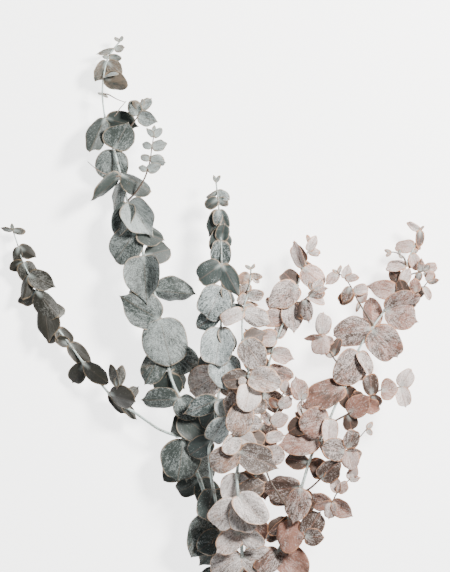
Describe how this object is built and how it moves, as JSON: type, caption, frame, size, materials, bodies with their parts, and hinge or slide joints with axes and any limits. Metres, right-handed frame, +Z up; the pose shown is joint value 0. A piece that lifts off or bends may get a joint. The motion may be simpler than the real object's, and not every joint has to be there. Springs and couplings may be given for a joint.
{
  "type": "bunch of dried eucalyptus",
  "caption": "Flat-lying bunch of dried eucalyptus: long stems fan out from a twine tie, set with round opposite leaves and small leafy side shoots.",
  "frame": {"origin": "middle of the footprint, on the surface that the bunch lies on", "axes": "+Y runs along the bunch from the cut stem ends towards the leaf tips, +X to the right seen from above with the tips pointing away, +Z up from the surface"},
  "size_m": [0.438, 0.6276, 0.0754],
  "materials": {
    "leaves_grey_green": "matte, waxy bloom over grey-green",
    "leaves_dark_olive": "matte, bloom mostly rubbed off",
    "leaves_pale_grey": "matte, thick pale bloom",
    "leaves_beige_grey": "matte, pale bloom over brown speckle",
    "leaves_pinkish": "matte, pinkish with tan rims",
    "leaves_rose_brown": "matte, rose brown speckle with tan rims",
    "stems": "satin, pale blue-green wax over brown bark",
    "twine": "rough twisted jute"
  },
  "bodies": {
    "root": {"centre_leaf_pair_01": "leaves_beige_grey", "centre_leaf_pair_02": "leaves_beige_grey", "centre_leaf_pair_03": "leaves_beige_grey", "centre_leaf_pair_04": "leaves_beige_grey", "centre_leaf_pair_05": "leaves_beige_grey", "centre_leaf_pair_06": "leaves_beige_grey", "centre_right_shoot": "leaves_rose_brown", "centre_stem": "stems", "far_right_bud_twig": "leaves_rose_brown", "far_right_leaf_pair_01": "leaves_rose_brown", "far_right_leaf_pair_02": "leaves_rose_brown", "far_right_leaf_pair_03": "leaves_rose_brown", "far_right_leaf_pair_04": "leaves_rose_brown", "far_right_leaf_pair_05": "leaves_rose_brown", "far_right_leaf_pair_06": "leaves_rose_brown", "far_right_leaf_pair_07": "leaves_rose_brown", "far_right_leaf_pair_08": "leaves_rose_brown", "far_right_left_shoot": "leaves_rose_brown", "far_right_lower_cluster": "leaves_rose_brown", "far_right_stem": "stems", "far_right_upper_cluster": "leaves_rose_brown", "inner_right_shoot": "leaves_rose_brown", "inner_shoot": "leaves_rose_brown", "low_left_leaf_pair_01": "leaves_dark_olive", "low_left_leaf_pair_02": "leaves_dark_olive", "low_left_leaf_pair_03": "leaves_dark_olive", "low_left_leaf_pair_04": "leaves_dark_olive", "low_left_shoot": "leaves_dark_olive", "low_left_stem": "stems", "mid_left_leaf_pair_01": "leaves_pale_grey", "mid_left_leaf_pair_02": "leaves_pale_grey", "mid_left_leaf_pair_03": "leaves_pale_grey", "mid_left_leaf_pair_04": "leaves_pale_grey", "mid_left_leaf_pair_05": "leaves_pale_grey", "mid_left_leaf_pair_06": "leaves_pale_grey", "mid_left_stem": "stems", "mid_right_leaf_pair_01": "leaves_pinkish", "mid_right_leaf_pair_02": "leaves_pinkish", "mid_right_shoot": "leaves_pinkish", "mid_right_stem": "stems", "right_bottom_shoot": "leaves_rose_brown", "right_low_shoot": "leaves_rose_brown", "right_lower_twig": "leaves_rose_brown", "right_shoot": "leaves_rose_brown", "tall_left_leaf_pair_01": "leaves_grey_green", "tall_left_leaf_pair_02": "leaves_grey_green", "tall_left_leaf_pair_03": "leaves_grey_green", "tall_left_leaf_pair_04": "leaves_grey_green", "tall_left_leaf_pair_05": "leaves_grey_green", "tall_left_leaf_pair_06": "leaves_grey_green", "tall_left_leaf_pair_07": "leaves_grey_green", "tall_left_leaf_pair_08": "leaves_grey_green", "tall_left_leaf_pair_09": "leaves_grey_green", "tall_left_leaf_pair_10": "leaves_grey_green", "tall_left_leaf_pair_11": "leaves_grey_green", "tall_left_leaf_pair_12": "leaves_grey_green", "tall_left_pale_shoot": "leaves_grey_green", "tall_left_stem": "stems", "tall_left_upper_shoot": "leaves_grey_green", "twine_tie": "twine"}
  },
  "joints": []
}
